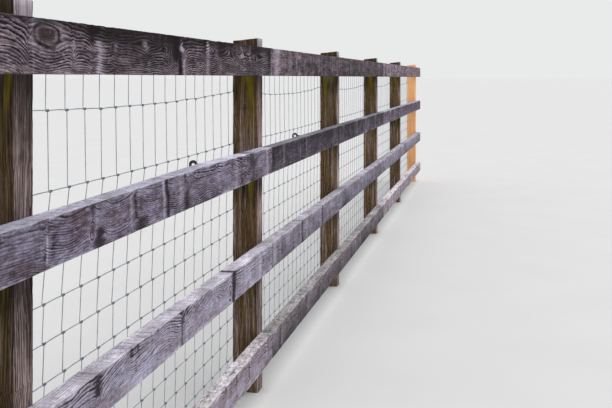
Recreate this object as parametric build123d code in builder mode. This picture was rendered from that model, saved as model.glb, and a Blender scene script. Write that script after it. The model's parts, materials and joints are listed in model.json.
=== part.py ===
"""Weathered post-and-rail livestock fence with wire netting, six bays long, in millimetres.

X runs along the fence and Z is up, with the ground at Z = 0. The rails are nailed to the
posts' -Y side, and the netting hangs on their +Y side. The origin is the middle of the
first post's foot.
"""

import os

from build123d import *

os.makedirs("parts", exist_ok=True)

# The run, set out from post centre to post centre
bay_length = 1800
bay_count = 6
bays_per_rail = 2

# Sawn posts, with a top that sheds rain to the netting side
post_width = 75
post_depth = 100
post_above_rail = 39
post_top_fall = 10
post_arris = 3

# Sawn rails, from the ground up: bottom, lower, upper and a slightly deeper top one
rail_height = 100
top_rail_height = 108
rail_thickness = 50
rail_arris = 2
rail_end_gap = 3
ground_gap = 125
lower_gap = 251
middle_gap = 272
upper_gap = 278

# Netting: line wires closer together near the ground, and the upper ones slack
line_wire = 3.0
bottom_wire_height = 60
line_wire_spacings = (76, 76, 76, 77, 80, 83, 92, 89, 131, 123, 203, 160)
slack_wire_count = 2
wire_sag = 26

# Netting: upright stays hung behind the line wires, the nearest one beside each post's middle
stay_wire = 2.5
stays_per_bay = 19
stay_offset = -9

# Ring insulators screwed into the back of two posts, each through one mesh of the netting and
# the further one standing out less
insulator_reaches = {3: 174, 4: 160}
wires_below_insulator_count = 10
insulator_above_wire = 34
shank_radius = 3
shank_depth_in_post = 30
shank_depth_in_ring = 7
shank_fit = 0.15
ring_outer_radius = 18.5
ring_wall = 11.5
ring_width = 10
ring_chamfer = 1.5
ring_slit = 3
ring_slit_angle = 35
boss_length = 10
boss_radius = 6
boss_taper = 8

# Heights and planes that follow
post_count = bay_count + 1
rail_count = bay_count // bays_per_rail
lower_rail_base = ground_gap + rail_height + lower_gap
upper_rail_base = lower_rail_base + rail_height + middle_gap
top_rail_base = upper_rail_base + rail_height + upper_gap
rail_levels = {
    "bottom": (ground_gap, rail_height),
    "lower": (lower_rail_base, rail_height),
    "upper": (upper_rail_base, rail_height),
    "top": (top_rail_base, top_rail_height),
}
post_height = top_rail_base + top_rail_height + post_above_rail
post_front = -post_depth / 2
post_back = post_depth / 2
stay_plane = post_back + line_wire
run_start = -post_width / 2
run_end = bay_count * bay_length + post_width / 2
wire_heights = [bottom_wire_height + sum(line_wire_spacings[:i]) for i in range(len(line_wire_spacings) + 1)]
ring_height = wire_heights[wires_below_insulator_count - 1] + insulator_above_wire


def post_x(number):
    """Centre line of a post, counted from 1."""
    return (number - 1) * bay_length


def save(piece, name):
    """Label a finished piece and write it."""
    piece.part.label = name
    export_step(piece.part, f"parts/{name}.step")


def make_post(number):
    """Sawn post with worn arrises, a sloped top, and a screw hole where it holds an insulator."""
    x = post_x(number)
    with BuildPart() as post:
        with BuildSketch(Plane.YZ.offset(x)):
            with BuildLine():
                Polyline(
                    (post_front, 0),
                    (post_back, 0),
                    (post_back, post_height - post_top_fall),
                    (post_front, post_height),
                    close=True,
                )
            make_face()
        extrude(amount=post_width / 2, both=True)
        chamfer(post.edges().filter_by(Axis.Z), post_arris)
        if number in insulator_reaches:
            with BuildSketch(Plane.XZ.offset(-post_back)):
                with Locations((x, ring_height)):
                    Circle(shank_radius + shank_fit)
            extrude(amount=shank_depth_in_post, mode=Mode.SUBTRACT)
    save(post, f"post_{number}")


def make_rail(level, number):
    """Sawn rail over two bays, flush with the run's ends and butted on the posts between."""
    base, height = rail_levels[level]
    first_post = 1 + (number - 1) * bays_per_rail
    last_post = first_post + bays_per_rail
    start = run_start if number == 1 else post_x(first_post) + rail_end_gap / 2
    end = run_end if number == rail_count else post_x(last_post) - rail_end_gap / 2
    with BuildPart() as rail:
        with BuildSketch(Plane.YZ.offset(start)) as section:
            with Locations((post_front - rail_thickness / 2, base + height / 2)):
                Rectangle(rail_thickness, height)
            chamfer(section.vertices(), rail_arris)
        extrude(amount=end - start)
    save(rail, f"{level}_rail_{number}")


def wire_edge(height, sag):
    """One edge of a line wire: straight over the end posts and hanging in each bay."""
    Line((run_start, height), (0, height))
    for bay in range(bay_count):
        left = bay * bay_length
        right = left + bay_length
        ThreePointArc((left, height), (left + bay_length / 2, height - sag), (right, height))
    Line((bay_count * bay_length, height), (run_end, height))


def make_line_wires():
    """Level wires of the netting, each in one length, with the upper ones slack between posts."""
    taut_heights = wire_heights[:-slack_wire_count]
    slack_heights = wire_heights[-slack_wire_count:]
    with BuildPart() as wires:
        with BuildSketch(Plane.XZ.offset(-post_back)):
            for height in taut_heights:
                with Locations(((run_start + run_end) / 2, height)):
                    Rectangle(run_end - run_start, line_wire)
            for height in slack_heights:
                with BuildLine():
                    wire_edge(height + line_wire / 2, wire_sag)
                    wire_edge(height - line_wire / 2, wire_sag)
                    Line((run_start, height - line_wire / 2), (run_start, height + line_wire / 2))
                    Line((run_end, height - line_wire / 2), (run_end, height + line_wire / 2))
                make_face()
        extrude(amount=-line_wire)
    save(wires, "line_wires")


def stay_top(x):
    """Height at which a stay ends: the top edge of the slack top wire."""
    share = (x / bay_length) % 1
    return wire_heights[-1] + line_wire / 2 - 4 * wire_sag * share * (1 - share)


def make_stays(bay):
    """Upright wires of one bay's netting, with the closing one in the last bay."""
    first = (bay - 1) * stays_per_bay
    count = stays_per_bay + (1 if bay == bay_count else 0)
    bottom = wire_heights[0] - line_wire / 2
    with BuildPart() as stays:
        with BuildSketch(Plane.XZ.offset(-stay_plane)):
            for index in range(first, first + count):
                x = stay_offset + index * bay_length / stays_per_bay
                with Locations((x, bottom)):
                    Rectangle(stay_wire, stay_top(x) - bottom, align=(Align.CENTER, Align.MIN))
        extrude(amount=-stay_wire)
    save(stays, f"netting_stays_{bay}")


def boss_start_y(number):
    """Where the boss of a post's ring begins, on the side that faces the post."""
    return post_back + insulator_reaches[number] - ring_outer_radius - boss_length


def make_shank(number):
    """Steel rod from the bottom of its hole in the post to the bottom of the ring's socket."""
    hole_bottom = post_back - shank_depth_in_post
    socket_bottom = boss_start_y(number) + shank_depth_in_ring
    with BuildPart() as shank:
        with BuildSketch(Plane.XZ.offset(-hole_bottom)):
            with Locations((post_x(number), ring_height)):
                Circle(shank_radius)
        extrude(amount=hole_bottom - socket_bottom)
    save(shank, f"insulator_shank_{number}")


def make_ring(number):
    """Plastic ring with a boss for its shank and a slanted slit that lets the conductor in."""
    centre = Vector(post_x(number), post_back + insulator_reaches[number], ring_height)
    boss_start = boss_start_y(number)
    ring_middle = ring_outer_radius - ring_wall / 2
    with BuildPart() as ring:
        with BuildSketch(Plane.XY.offset(ring_height)) as section:
            with Locations((centre.X, centre.Y + ring_middle)):
                Rectangle(ring_width, ring_wall)
            chamfer(section.vertices(), ring_chamfer)
        revolve(axis=Axis(centre, (1, 0, 0)))
        with BuildSketch(Plane.XZ.offset(-boss_start)):
            with Locations((centre.X, centre.Z)):
                Circle(boss_radius)
        extrude(amount=-(boss_length + ring_wall / 2), taper=boss_taper)
        with BuildSketch(Plane.XZ.offset(-boss_start)):
            with Locations((centre.X, centre.Z)):
                Circle(shank_radius + shank_fit)
        extrude(amount=-shank_depth_in_ring, mode=Mode.SUBTRACT)
        slit_plane = Plane(origin=centre, x_dir=(1, 0, 0), z_dir=(0, 1, 0)).rotated((0, ring_slit_angle, 0))
        with BuildSketch(slit_plane):
            Rectangle(2 * ring_width, ring_slit)
        extrude(amount=2 * ring_outer_radius, mode=Mode.SUBTRACT)
    save(ring, f"insulator_ring_{number}")


for post_number in range(1, post_count + 1):
    make_post(post_number)

for rail_number in range(1, rail_count + 1):
    for rail_level in rail_levels:
        make_rail(rail_level, rail_number)

make_line_wires()

for bay_number in range(1, bay_count + 1):
    make_stays(bay_number)

for insulator_number in insulator_reaches:
    make_shank(insulator_number)
    make_ring(insulator_number)
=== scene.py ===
"""Looks of a weathered post-and-rail livestock fence with wire netting, in metres.

X runs along the fence, +Y points to the netting and Z is up from the ground. Each board is
a skin of close cross-sections. A growth-ring number is worked out at every point of it, the
skin is carved by knots, checks and wear, and the materials draw the rings.
"""

import json
import math
from collections import namedtuple

import bpy
import numpy as np
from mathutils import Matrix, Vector


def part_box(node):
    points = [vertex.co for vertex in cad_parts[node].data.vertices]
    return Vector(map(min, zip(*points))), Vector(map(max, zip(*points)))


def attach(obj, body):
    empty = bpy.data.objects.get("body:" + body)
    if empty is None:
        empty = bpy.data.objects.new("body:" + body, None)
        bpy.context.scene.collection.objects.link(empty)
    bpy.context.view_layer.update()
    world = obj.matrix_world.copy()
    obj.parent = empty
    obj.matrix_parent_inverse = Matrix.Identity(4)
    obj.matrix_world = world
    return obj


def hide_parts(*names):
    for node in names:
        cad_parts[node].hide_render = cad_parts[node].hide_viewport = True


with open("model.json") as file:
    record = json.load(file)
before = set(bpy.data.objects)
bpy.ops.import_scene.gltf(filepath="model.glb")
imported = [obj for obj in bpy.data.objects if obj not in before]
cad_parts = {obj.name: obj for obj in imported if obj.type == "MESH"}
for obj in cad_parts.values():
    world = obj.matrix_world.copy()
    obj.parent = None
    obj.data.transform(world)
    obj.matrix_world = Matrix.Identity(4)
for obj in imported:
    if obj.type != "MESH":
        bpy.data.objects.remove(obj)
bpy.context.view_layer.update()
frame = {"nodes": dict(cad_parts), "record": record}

MM = 0.001
SLOTS = {part["node"]: part["material_slot"] for part in frame["record"]["subparts"]}
RAIL_LEVELS = ("bottom", "lower", "upper", "top")
POST_COUNT = sum(name.startswith("post_") for name in SLOTS)
RAIL_COUNT = sum(name.startswith("top_rail_") for name in SLOTS)
POST_BOXES = [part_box(f"post_{n}") for n in range(1, POST_COUNT + 1)]
POST_MIDDLES = [(low.x + high.x) / 2 for low, high in POST_BOXES]
POST_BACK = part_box("post_1")[1].y
BAY = POST_MIDDLES[1] - POST_MIDDLES[0]
INSULATOR_POSTS = [n for n in range(1, POST_COUNT + 1) if f"insulator_ring_{n}" in SLOTS]

# Nails: two through a whole rail, and two in each end where rails meet
NAIL_SPREAD = 0.28
NAIL_ASIDE = 18 * MM
NAIL_STAGGER = 8 * MM
NAIL_DENT = 0.9 * MM


def nail_places():
    """Place along the fence and height of every nail."""
    rng = np.random.default_rng(29)
    places = []
    for level in RAIL_LEVELS:
        ends = [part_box(f"{level}_rail_{n}") for n in range(1, RAIL_COUNT + 1)]
        low, high = ends[0]
        middle = (low.z + high.z) / 2
        reach = NAIL_SPREAD * (high.z - low.z)
        for post in POST_MIDDLES:
            butted = any(abs(corner.x - post) < 10 * MM for box in ends for corner in box)
            for side in (-1, 1) if butted else (0,):
                for rise in (-1, 1):
                    aside = side * NAIL_ASIDE + (0 if butted else rise * NAIL_STAGGER)
                    x = post + aside + rng.uniform(-4, 4) * MM
                    places.append((x, middle + rise * reach + rng.uniform(-5, 5) * MM))
    return places


NAIL_PLACES = nail_places()

# Camera, matched to the photograph
PHOTO_WIDTH = 612
PHOTO_HEIGHT = 408
HORIZON_ROW = 77.5
FOCAL_PIXELS = 896
SENSOR_WIDTH = 36
CAMERA_TURN = math.radians(11.79)
CAMERA_PLACE = (0.212, -0.94, 1.22)

# Stretch of the near rails that the camera sees. Cross-sections are closer there and at knots
SEEN_START = 1.5
SEEN_END = 3.7
SEEN_GAIN = 0.9
MARK_GAIN = 1.6
MARK_REACH = 35 * MM

# Board skins. The grain of an upright board is drawn out by a share below 1, which makes its
# fibres longer and straighter
RAIL_ARRIS = 2.0 * MM
POST_ARRIS = 2.2 * MM
END_ARRIS = 1.6 * MM
END_WEAR = 0.8 * MM
EDGE_REACH = 3.5 * MM
ARRIS_STEPS = 3
CAP_SHARES = (0.965, 0.8, 0.6, 0.4, 0.2)
KNOT_FAR = 3.0
POST_GRAIN = 0.6
SAW_SLANT = 0.5

Knot = namedtuple("Knot", "along up long tall")
Whorl = namedtuple("Whorl", "along left left_reach right right_reach width dark low high flare")
Streak = namedtuple("Streak", "along width pale low high bend")
Tint = namedtuple("Tint", "along reach amount")
Calm = namedtuple("Calm", "along reach low high amount")
Eye = namedtuple("Eye", "along up long tall rings")
Figure = namedtuple(
    "Figure",
    "pith_back pith_rise ring_width sway knots whorls streaks tints eyes calms "
    "base_tint top_tint lean lines ribs crown",
    defaults=((), (), 0.0, 0.0, 0.0, 1.0, 0.0, None),
)
Detail = namedtuple("Detail", "sections front top back bottom")
Look = namedtuple(
    "Look",
    "front_early front_warm front_late side_early side_grey side_late top_early top_late stain pale "
    "core moss algae lines strands streak speckle blotch saw mottle crust flecks wear moss_cover "
    "lichen halo",
)


def tone(code):
    """Linear colour of a six-digit sRGB code."""
    parts = [int(code[i : i + 2], 16) / 255 for i in (0, 2, 4)]
    linear = [p / 12.92 if p <= 0.04045 else ((p + 0.055) / 1.055) ** 2.4 for p in parts]
    return (*linear, 1.0)


def lattice_noise(place, scales, seed):
    """Smooth noise from -1 to 1 over a board, with so many lattice cells a metre along u, v and w."""
    points = np.stack([axis * scale for axis, scale in zip(place, scales)], -1)
    cell = np.floor(points).astype(np.int64)
    part = points - cell
    part = part * part * (3 - 2 * part)
    total = np.zeros(points.shape[:-1])
    for corner in np.ndindex(2, 2, 2):
        spot = cell + corner
        key = spot[..., 0] * 73856093 + spot[..., 1] * 19349663 + spot[..., 2] * 83492791 + seed * 2654435
        key = (key ^ (key >> 13)) * 1274126177
        key = (key ^ (key >> 16)) & 0xFFFF
        weight = np.prod(np.where(corner, part, 1 - part), axis=-1)
        total += weight * (key / 0x7FFF - 1)
    return total


def smooth(value, low, high):
    """0 below low and 1 above high, with an eased step between."""
    share = np.clip((value - low) / (high - low), 0, 1)
    return share * share * (3 - 2 * share)


def hump(offset, reach):
    """1 at no offset, falling off smoothly to both sides."""
    return np.exp(-((offset / reach) ** 2))


def section_loop(half_v, half_w, arris, detail):
    """Outline of a sawn section with rounded arrises: its points and their outward directions."""
    corners = (
        (-1, 1, math.pi, detail.front, (-half_v, -half_w + arris), (-half_v, half_w - arris)),
        (1, 1, math.pi / 2, detail.top, (-half_v + arris, half_w), (half_v - arris, half_w)),
        (1, -1, 0, detail.back, (half_v, half_w - arris), (half_v, -half_w + arris)),
        (-1, -1, -math.pi / 2, detail.bottom, (half_v - arris, -half_w), (-half_v + arris, -half_w)),
    )
    points = []
    normals = []
    for side_v, side_w, angle, count, start, end in corners:
        for step in range(count):
            share = step / count
            points.append([a + (b - a) * share for a, b in zip(start, end)])
            normals.append([math.cos(angle), math.sin(angle)])
        for step in range(ARRIS_STEPS):
            turn = angle - math.pi / 2 * step / ARRIS_STEPS
            points.append([
                side_v * (half_v - arris) + arris * math.cos(turn),
                side_w * (half_w - arris) + arris * math.sin(turn),
            ])
            normals.append([math.cos(turn), math.sin(turn)])
    return np.array(points), np.array(normals)


def section_places(start, end, count, crowded, seen):
    """Places of the cross-sections along a board, closer at its knots and where it is seen."""
    fine = np.linspace(start, end, 4000)
    density = np.ones_like(fine)
    if seen:
        density += SEEN_GAIN * ((fine > SEEN_START) & (fine < SEEN_END))
    for place in crowded:
        density += MARK_GAIN * hump(fine - place, MARK_REACH)
    total = np.concatenate([[0], np.cumsum((density[1:] + density[:-1]) / 2)])
    return np.interp(np.linspace(0, total[-1], count), total, fine)


def ring_field(figure, place, half_v, upright, seed):
    """Growth-ring number and distance to the nearest knot at each point of a board."""
    u, v, w = place
    sway = figure.sway * lattice_noise(place, (7, 3, 9), seed)
    sway += 0.35 * figure.sway * lattice_noise(place, (19, 8, 26), seed + 1)
    lifted = w - sway
    ragged = 4 * MM * lattice_noise(place, (0, 40, 60), seed + 11)
    for whorl in figure.whorls:
        gap = u - whorl.along - ragged
        before = whorl.left * MM * np.exp(np.minimum(gap, 0) / (whorl.left_reach * MM))
        after = whorl.right * MM * np.exp(-np.maximum(gap, 0) / (whorl.right_reach * MM))
        lifted -= np.where(gap < 0, before, after)
    nearest = np.full(u.shape, KNOT_FAR)
    aside = v
    across = v if upright else w
    for knot in figure.knots:
        taper = 1 - 0.2 * (v + half_v) / (2 * half_v)
        along = (u - knot.along) / (knot.long * taper)
        upward = (across - knot.up) / (knot.tall * taper)
        nearest = np.minimum(nearest, np.hypot(along, upward))
        bend = (across - knot.up) * np.exp(-np.abs(upward) / 2) * hump(along, 1.7)
        if upright:
            aside = aside - bend
        else:
            lifted -= bend
    rings = np.hypot(aside - figure.pith_back, lifted - figure.pith_rise) / figure.ring_width
    for eye in figure.eyes:
        along = (u - eye.along) / (eye.long * MM)
        upward = (w - eye.up * MM) / (eye.tall * MM)
        rings += eye.rings * np.exp(-(along * along) - upward * upward)
    rings += 1.5 * lattice_noise(place, (4.3, 7, 9), seed + 8)
    rings += 0.7 * lattice_noise(place, (11, 15, 24), seed + 9)
    return rings, nearest


def height_window(height, low, high):
    """1 between two shares of a board's height, fading outside them."""
    return smooth(height, low - 0.12, low + 0.05) * (1 - smooth(height, high - 0.05, high + 0.12))


def whorl_marks(figure, place, height, ragged, seed):
    """Dark bands where a whorl of branches crosses a board, and the pale streaks beside them."""
    dark = np.zeros(height.shape)
    pale = np.zeros(height.shape)
    fade = 1.1 + 0.5 * lattice_noise(place, (9, 20, 42), seed + 12)
    pale_fade = 0.95 + 0.5 * lattice_noise(place, (11, 20, 34), seed + 13)
    for whorl in figure.whorls:
        width = whorl.width * MM * np.clip(1 + whorl.flare * (0.5 - height) * 2, 0.35, 2.6)
        band = height_window(height, whorl.low, whorl.high) * hump(place[0] - whorl.along - ragged, width)
        dark = np.maximum(dark, whorl.dark * band)
    for streak in figure.streaks:
        part = (height - streak.low) / (streak.high - streak.low)
        bend = streak.bend * MM * 4 * part * (1 - part)
        offset = place[0] - streak.along - 0.6 * ragged - bend
        band = height_window(height, streak.low, streak.high) * hump(offset, streak.width * MM)
        pale = np.maximum(pale, streak.pale * band)
    return dark * np.clip(fade, 0, 1), pale * np.clip(pale_fade, 0, 1)


def line_strength(figure, u, height, ragged):
    """How clearly the late wood shows: fainter in calm stretches, stronger where the amount is below 0."""
    strength = np.full(u.shape, figure.lines)
    for calm in figure.calms:
        near = hump(u - calm.along - ragged, calm.reach)
        strength *= 1 - calm.amount * near * height_window(height, calm.low, calm.high)
    return strength


def board_tint(figure, u, height, topside, ragged):
    """Share by which each point of a board is lighter or darker than its look."""
    # The lean darkens one edge of each side: partly damper wood, partly painted shade
    tint = np.where(topside, figure.top_tint, figure.base_tint + figure.lean * (2 * height - 1))
    for patch in figure.tints:
        tint += patch.amount * hump(u - patch.along - ragged, patch.reach)
    return tint


def carve_depth(place, knot, dark, edge, seed, chip_depth):
    """How far the skin sinks below the sawn surface: uneven saw cut, knots, splits and lost chips."""
    uneven = 0.5 + 0.5 * lattice_noise(place, (3.1, 14, 14), seed + 2)
    rough = 0.5 + 0.5 * lattice_noise(place, (45, 260, 260), seed + 3)
    chips = lattice_noise(place, (24, 30, 30), seed + 4)
    small_chips = lattice_noise(place, (90, 60, 60), seed + 5)
    chips = np.maximum(chips - 0.25, 0) + 0.2 * np.maximum(small_chips, 0)
    depth = 0.5 * MM * uneven + 0.3 * MM * rough
    depth += 1.1 * MM * hump(knot - 1, 0.13) + 1.5 * MM * dark * (1 - edge)
    depth += edge * (0.1 * MM + chip_depth * chips)
    return depth


def nail_marks(u, w, face_v, nails):
    """Dent round each nail on the face that it was driven into, and the stain that runs down from it."""
    dent = np.zeros(u.shape)
    stain = np.zeros(u.shape)
    for along, up in nails:
        near = np.abs(u - along) < 30 * MM
        if not near.any() or abs(up) > np.abs(w).max():
            continue
        gap = np.hypot(u - along, w - up)
        dent = np.maximum(dent, np.exp(-((gap / (6 * MM)) ** 4)))
        below = np.maximum(up - w, 0)
        trail = hump(u - along, 3.2 * MM) * np.exp(-below / (30 * MM)) * (w < up)
        stain = np.maximum(stain, np.maximum(hump(gap, 7 * MM), 0.7 * trail))
    front = face_v < -0.9
    return dent * front, stain * front


def add_object(name, data):
    """New object in the scene."""
    piece = bpy.data.objects.new(name, data)
    bpy.context.scene.collection.objects.link(piece)
    return piece


def finish_mesh(name, points, quads, others, attributes, material):
    """Mesh object from arrays, with one value or vector per point for each attribute."""
    mesh = bpy.data.meshes.new(name)
    mesh.from_pydata(points.tolist(), [], quads.tolist() + others)
    for key, values in attributes.items():
        kind = "FLOAT_VECTOR" if values.ndim == 2 else "FLOAT"
        layer = mesh.attributes.new(key, kind, "POINT")
        layer.data.foreach_set("vector" if values.ndim == 2 else "value", values.astype(np.float32).ravel())
    mesh.polygons.foreach_set("use_smooth", np.ones(len(mesh.polygons), dtype=bool))
    mesh.materials.append(material)
    mesh.update()
    return add_object(name, mesh)


def board_skin(start, end, loop, outward, sections):
    """Places u, v, w of a board's plain skin, -1 and 1 on its two ends, and its outward directions."""
    caps = len(CAP_SHARES)
    shares = np.concatenate([CAP_SHARES[::-1], np.ones(len(sections)), CAP_SHARES])
    u_rows = np.concatenate([np.full(caps, start), sections, np.full(caps, end)])
    end_rows = np.concatenate([-np.ones(caps), np.zeros(len(sections)), np.ones(caps)])
    ends = np.repeat(end_rows, len(loop))
    u = np.append(np.repeat(u_rows, len(loop)), [start, end])
    v, w = (np.append((shares[:, None] * loop[None, :, axis]).ravel(), [0, 0]) for axis in (0, 1))
    faces = np.tile(outward, (len(u_rows), 1)) * (ends == 0)[:, None]
    face_v, face_w = (np.append(faces[:, axis], [0, 0]) for axis in (0, 1))
    return (u, v, w), np.append(ends, [-1, 1]), face_v, face_w


def skin_faces(rows, size, upright):
    """Quads between the cross-sections, and fans over the two ends."""
    index = np.arange(rows * size).reshape(rows, size)
    around = np.roll(index, -1, axis=1)
    corners = [index[:-1], index[1:], around[1:], around[:-1]]
    quads = np.stack([c.ravel() for c in (corners[::-1] if upright else corners)], -1)
    fans = []
    for row, tip, flip in ((index[0], rows * size, upright), (index[-1], rows * size + 1, not upright)):
        for a, b in zip(row, np.roll(row, -1)):
            fans.append([tip, int(b), int(a)] if flip else [tip, int(a), int(b)])
    return quads, fans


def make_board(node, upright, figure, detail, seed, chip_depth, growth_rule, seen=False):
    """Weathered board in place of a CAD node: u along the grain, v towards the netting, w across."""
    low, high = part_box(node)
    middle = (low + high) / 2
    half_v = (high.y - low.y) / 2
    half_w = (high.x - low.x) / 2 if upright else (high.z - low.z) / 2
    start, end = (low.z, high.z) if upright else (low.x, high.x)
    arris = POST_ARRIS if upright else RAIL_ARRIS
    loop, outward = section_loop(half_v, half_w, arris, detail)
    crowded = [mark.along for mark in figure.knots + figure.whorls]
    sections = section_places(start + END_ARRIS, end - END_ARRIS, detail.sections, crowded, seen)
    place, ends, face_v, face_w = board_skin(start, end, loop, outward, sections)
    u, v, w = place

    rings, knot = ring_field(figure, place, half_v, upright, seed)
    height = (w + half_w) / (2 * half_w)
    ragged = 12 * MM * lattice_noise(place, (5, 18, 26), seed + 6)
    ragged += 3.5 * MM * lattice_noise(place, (12, 70, 110), seed + 10)
    dark, pale = whorl_marks(figure, place, height, ragged, seed)
    to_edge = (half_v - np.abs(v)) + (half_w - np.abs(w))
    edge = np.exp(-np.maximum(to_edge - arris, 0) / EDGE_REACH)
    nails = [] if upright else [(x, z - middle.z) for x, z in NAIL_PLACES]
    dent, stain = nail_marks(u, w, face_v, nails)
    depth = carve_depth(place, knot, dark, edge, seed, chip_depth) + NAIL_DENT * dent
    depth *= ends == 0
    carved_u = u - ends * END_WEAR * (1 + lattice_noise(place, (50, 90, 90), seed + 7))
    carved_v = v - depth * face_v
    carved_w = w - depth * face_w
    if figure.crown:
        place_x, reach, rise = figure.crown
        carved_w = carved_w + rise * hump(u - place_x, reach) * height

    if upright:
        top = 1 - (high.z - POST_BACK_TOP) / high.z * (carved_v + half_v) / (2 * half_v)
        points = np.stack([middle.x + carved_w, middle.y + carved_v, carved_u * top], -1)
        facing = np.stack([face_w, face_v, ends], -1)
    else:
        points = np.stack([carved_u, middle.y + carved_v, middle.z + carved_w], -1)
        facing = np.stack([ends, face_v, face_w], -1)
    quads, fans = skin_faces(len(sections) + 2 * len(CAP_SHARES), len(loop), upright)
    moss, algae, bleached = growth_rule(place, facing, height)
    shift = np.array([0.0, 0.731 * seed, 0.457 * seed])
    attributes = {
        "grain": np.stack([u * (POST_GRAIN if upright else 1), v, w], -1) + shift,
        "facing": facing,
        "ring": rings,
        "knot": knot,
        "dark": dark,
        "tint": board_tint(figure, u, height, (face_w > 0.5) & (not upright), 4 * ragged),
        "lines": line_strength(figure, u, height, ragged),
        "ribs": np.full(u.shape, figure.ribs),
        "edge": edge * (ends == 0),
        "nail": stain,
        "moss": moss,
        "algae": algae,
        "pale": np.maximum(pale, bleached),
    }
    piece = finish_mesh(f"{node}_board", points, quads, fans, attributes, WOODS[SLOTS[node]])
    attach(piece, "root")
    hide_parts(node)


class Value:
    """Output of a node, with sums written as on plain numbers."""

    def __init__(self, shader, socket):
        self.shader = shader
        self.socket = socket

    def __add__(self, other):
        return self.shader.math("ADD", self, other)

    def __mul__(self, other):
        return self.shader.math("MULTIPLY", self, other)

    def __sub__(self, other):
        return self.shader.math("SUBTRACT", self, other)

    def __rsub__(self, other):
        return self.shader.math("SUBTRACT", other, self)

    def band(self, low, high):
        """0 at low and 1 at high, eased between them and level outside."""
        inputs = {"Value": self, "From Min": low, "From Max": high}
        return self.shader.node("ShaderNodeMapRange", inputs, interpolation_type="SMOOTHSTEP")

    def spread(self, low, high):
        """Noise from 0.25 to 0.75 spread over a range."""
        inputs = {"Value": self, "From Min": 0.25, "From Max": 0.75, "To Min": low, "To Max": high}
        return self.shader.node("ShaderNodeMapRange", inputs, clamp=False)

    def swing(self, reach, middle=0):
        """Noise spread as far to both sides of a middle value."""
        return self.spread(middle - reach, middle + reach)


class Shader:
    """Nodes of a material or a world, with short calls for those that the looks share."""

    def __init__(self, name, family=bpy.data.materials):
        self.owner = family.new(name)
        self.owner.use_nodes = True
        self.tree = self.owner.node_tree
        self.colour = None

    def plug(self, socket, value):
        """Give an input a value or another node's output."""
        if isinstance(value, Value):
            self.tree.links.new(value.socket, socket)
        else:
            socket.default_value = value

    def node(self, kind, inputs, output=0, **settings):
        """Output of a new node with its settings and inputs."""
        made = self.tree.nodes.new(kind)
        for key, setting in settings.items():
            setattr(made, key, setting)
        for key, value in inputs.items():
            self.plug(made.inputs[key], value)
        return Value(self, made.outputs[output])

    def attribute(self, name, output="Fac"):
        """Value of a mesh attribute."""
        return self.node("ShaderNodeAttribute", {}, output, attribute_name=name)

    def place(self):
        """Place on the object."""
        return self.node("ShaderNodeTexCoord", {}, "Object")

    def part(self, vector, axis):
        """One of the three parts of a vector."""
        return self.node("ShaderNodeSeparateXYZ", {0: vector}, axis)

    def math(self, operation, a, b=0.0):
        """One sum on two numbers."""
        return self.node("ShaderNodeMath", {0: a, 1: b}, operation=operation)

    def noise(self, vector, scales, detail=2.0, roughness=0.5):
        """Noise with its own scale along each axis."""
        scaled = self.node("ShaderNodeVectorMath", {0: vector, 1: scales}, operation="MULTIPLY")
        inputs = {"Vector": scaled, "Scale": 1.0, "Detail": detail, "Roughness": roughness}
        return self.node("ShaderNodeTexNoise", inputs, "Fac")

    def mix(self, factor, a, b):
        """Colour between two colours."""
        return self.node("ShaderNodeMix", {0: factor, 6: a, 7: b}, 2, data_type="RGBA")

    def scale(self, colour, factor):
        """Colour made lighter or darker."""
        return self.node("ShaderNodeVectorMath", {0: colour, "Scale": factor}, operation="SCALE")

    def lay(self, factor, colour):
        """Cover the colour reached so far with another one."""
        self.colour = self.mix(factor, self.colour, colour)

    def shade(self, factor):
        """Make the colour reached so far lighter or darker."""
        self.colour = self.scale(self.colour, factor)

    def finish(self, colour, roughness, height=None, bump=0.5, depth=1 * MM, sheen=0.5, metallic=0):
        """Material with the finished colour, roughness and relief."""
        surface = self.tree.nodes["Principled BSDF"].inputs
        self.plug(surface["Base Color"], colour)
        self.plug(surface["Specular IOR Level"], sheen)
        self.plug(surface["Roughness"], roughness)
        self.plug(surface["Metallic"], metallic)
        if height is not None:
            inputs = {"Strength": bump, "Distance": depth, "Height": height}
            self.plug(surface["Normal"], self.node("ShaderNodeBump", inputs))
        return self.owner


# Noises of the wood: their scales along and across the grain, detail and roughness
WOOD_NOISES = {
    "wide": ((4, 14, 14), 3, 0.5),
    "wobble": ((14, 60, 60), 3, 0.5),
    "streak": ((11, 210, 210), 2.5, 0.6),
    "speckle": ((75, 230, 230), 2.5, 0.6),
    "blotch": ((9, 30, 30), 4, 0.6),
    "strand": ((5, 80, 80), 3, 0.6),
    "saw": ((150, 9, 9), 2, 0.6),
    "broad_saw": ((60, 5, 7), 3, 0.65),
    "saw_band": ((17, 3, 3.5), 3, 0.75),
    "rib": ((15, 1.5, 1.8), 4, 0.7),
    "fleck": ((42, 170, 170), 2, 0.5),
    "crust": ((30, 75, 75), 3, 0.75),
    "split": ((5, 90, 90), 2, 0.5),
}


def weathered_wood(name, look):
    """Grey sawn softwood, laid up from its growth rings to the moss on it."""
    s = Shader(name)
    s.grain = s.attribute("grain", "Vector")
    for key, (scales, detail, roughness) in WOOD_NOISES.items():
        setattr(s, key, s.noise(s.grain, scales, detail, roughness))
    for key in ("dark", "edge", "ribs", "tint", "pale"):
        setattr(s, key, s.attribute(key))
    facing = s.attribute("facing", "Vector")
    s.front = (s.part(facing, 1) * -1.0).band(0.4, 0.8)
    s.up = s.part(facing, 2).band(0.45, 0.85)
    for layer in (lay_rings, lay_top_face, lay_fibres, lay_knots, lay_stains, lay_growth):
        layer(s, look)
    height = s.late * 0.8 + s.streak.swing(0.6) + s.speckle.swing(0.35) + s.broad_saw.swing(0.6) * s.up
    return s.finish(s.colour, s.streak.spread(0.8, 0.95), height - s.check - s.bark, 0.6, 0.9 * MM, 0.12)


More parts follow.
